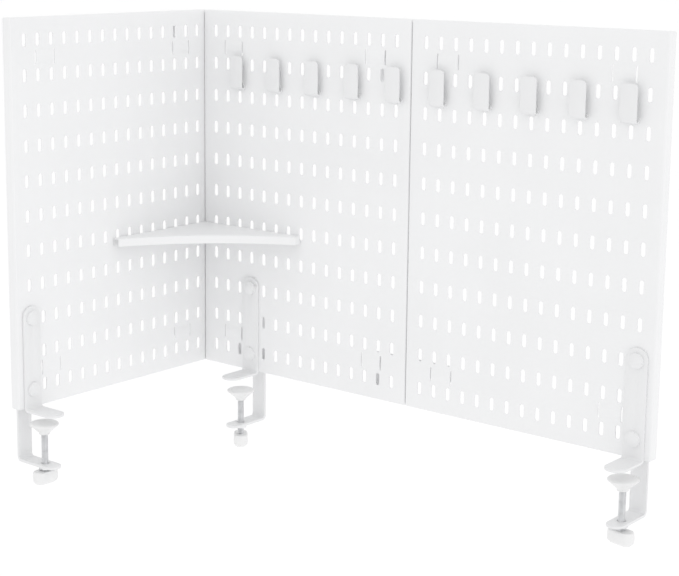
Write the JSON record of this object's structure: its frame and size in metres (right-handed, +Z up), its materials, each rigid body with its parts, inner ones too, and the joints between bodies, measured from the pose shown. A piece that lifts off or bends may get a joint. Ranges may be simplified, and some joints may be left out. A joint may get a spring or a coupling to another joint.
{
  "type": "desk clamp pegboard organizer",
  "caption": "L-shaped white steel pegboard that clamps to a desk corner, with slotted panels, flat hooks, a corner shelf and screw clamps.",
  "frame": {"origin": "underside of the middle clamp's upper jaw, which rests on the desk top, on the axis of its clamp screw", "axes": "+X along the middle and right panels towards the free end, +Y away from the user, +Z up"},
  "size_m": [0.6639, 0.3345, 0.5425],
  "materials": {
    "white_paint": "matt white powder coat",
    "white_plastic": "satin moulded plastic",
    "bright_steel": "bright plated"
  },
  "bodies": {
    "board": {"corner_bracket_bottom": "white_paint", "corner_bracket_top": "white_paint", "left_bolt_nuts": "bright_steel", "left_bolts": "white_paint", "left_jaw_nut": "bright_steel", "left_panel": "white_paint", "left_rear_bracket": "white_paint", "left_upper_jaw": "white_paint", "middle_bolt_nuts": "bright_steel", "middle_bolts": "white_paint", "middle_jaw_nut": "bright_steel", "middle_panel": "white_paint", "middle_rear_bracket": "white_paint", "middle_upper_jaw": "white_paint", "right_bolt_nuts": "bright_steel", "right_bolts": "white_paint", "right_jaw_nut": "bright_steel", "right_panel": "white_paint", "right_rear_bracket": "white_paint", "right_upper_jaw": "white_paint", "straight_connector_bottom": "white_paint", "straight_connector_top": "white_paint"},
    "left_pad": {"left_pad": "white_plastic"},
    "left_screw": {"left_screw": "bright_steel", "left_knob": "white_plastic"},
    "middle_pad": {"middle_pad": "white_plastic"},
    "middle_screw": {"middle_screw": "bright_steel", "middle_knob": "white_plastic"},
    "right_pad": {"right_pad": "white_plastic"},
    "right_screw": {"right_screw": "bright_steel", "right_knob": "white_plastic"},
    "hook_1": {"hook_1": "white_paint"},
    "hook_2": {"hook_2": "white_paint"},
    "hook_3": {"hook_3": "white_paint"},
    "hook_4": {"hook_4": "white_paint"},
    "hook_5": {"hook_5": "white_paint"},
    "hook_6": {"hook_6": "white_paint"},
    "hook_7": {"hook_7": "white_paint"},
    "hook_8": {"hook_8": "white_paint"},
    "hook_9": {"hook_9": "white_paint"},
    "hook_10": {"hook_10": "white_paint"},
    "corner_shelf": {"corner_shelf": "white_paint"}
  },
  "joints": [
    {"name": "left_pad_travel", "type": "slide", "parent": "board", "child": "left_pad", "axis": [0, 0, 1], "range_m": [-0.033, 0.001]},
    {"name": "left_screw_turn", "type": "hinge", "parent": "left_pad", "child": "left_screw", "pos_m": [-0.0604, -0.272, -0.0685], "axis": [0, 0, 1], "range_deg": [-9520, 300]},
    {"name": "middle_pad_travel", "type": "slide", "parent": "board", "child": "middle_pad", "axis": [0, 0, 1], "range_m": [-0.027, 0.007]},
    {"name": "middle_screw_turn", "type": "hinge", "parent": "middle_pad", "child": "middle_screw", "pos_m": [0, 0, -0.0745], "axis": [0, 0, 1], "range_deg": [-7792, 2028]},
    {"name": "right_pad_travel", "type": "slide", "parent": "board", "child": "right_pad", "axis": [0, 0, 1], "range_m": [-0.031, 0.003]},
    {"name": "right_screw_turn", "type": "hinge", "parent": "right_pad", "child": "right_screw", "pos_m": [0.541, 0, -0.0705], "axis": [0, 0, 1], "range_deg": [-8944, 876]},
    {"name": "hook_1_lift", "type": "slide", "parent": "board", "child": "hook_1", "axis": [0, 0, 1], "range_m": [0, 0.006]},
    {"name": "hook_2_lift", "type": "slide", "parent": "board", "child": "hook_2", "axis": [0, 0, 1], "range_m": [0, 0.006]},
    {"name": "hook_3_lift", "type": "slide", "parent": "board", "child": "hook_3", "axis": [0, 0, 1], "range_m": [0, 0.006]},
    {"name": "hook_4_lift", "type": "slide", "parent": "board", "child": "hook_4", "axis": [0, 0, 1], "range_m": [0, 0.006]},
    {"name": "hook_5_lift", "type": "slide", "parent": "board", "child": "hook_5", "axis": [0, 0, 1], "range_m": [0, 0.006]},
    {"name": "hook_6_lift", "type": "slide", "parent": "board", "child": "hook_6", "axis": [0, 0, 1], "range_m": [0, 0.006]},
    {"name": "hook_7_lift", "type": "slide", "parent": "board", "child": "hook_7", "axis": [0, 0, 1], "range_m": [0, 0.006]},
    {"name": "hook_8_lift", "type": "slide", "parent": "board", "child": "hook_8", "axis": [0, 0, 1], "range_m": [0, 0.006]},
    {"name": "hook_9_lift", "type": "slide", "parent": "board", "child": "hook_9", "axis": [0, 0, 1], "range_m": [0, 0.006]},
    {"name": "hook_10_lift", "type": "slide", "parent": "board", "child": "hook_10", "axis": [0, 0, 1], "range_m": [0, 0.006]},
    {"name": "shelf_lift", "type": "slide", "parent": "board", "child": "corner_shelf", "axis": [0, 0, 1], "range_m": [0, 0.006]}
  ],
  "couplings": [
    {"joint": "left_screw_turn", "follows": "left_pad_travel", "rad_per_m": 5026.5},
    {"joint": "middle_screw_turn", "follows": "middle_pad_travel", "rad_per_m": 5026.5},
    {"joint": "right_screw_turn", "follows": "right_pad_travel", "rad_per_m": 5026.5}
  ]
}
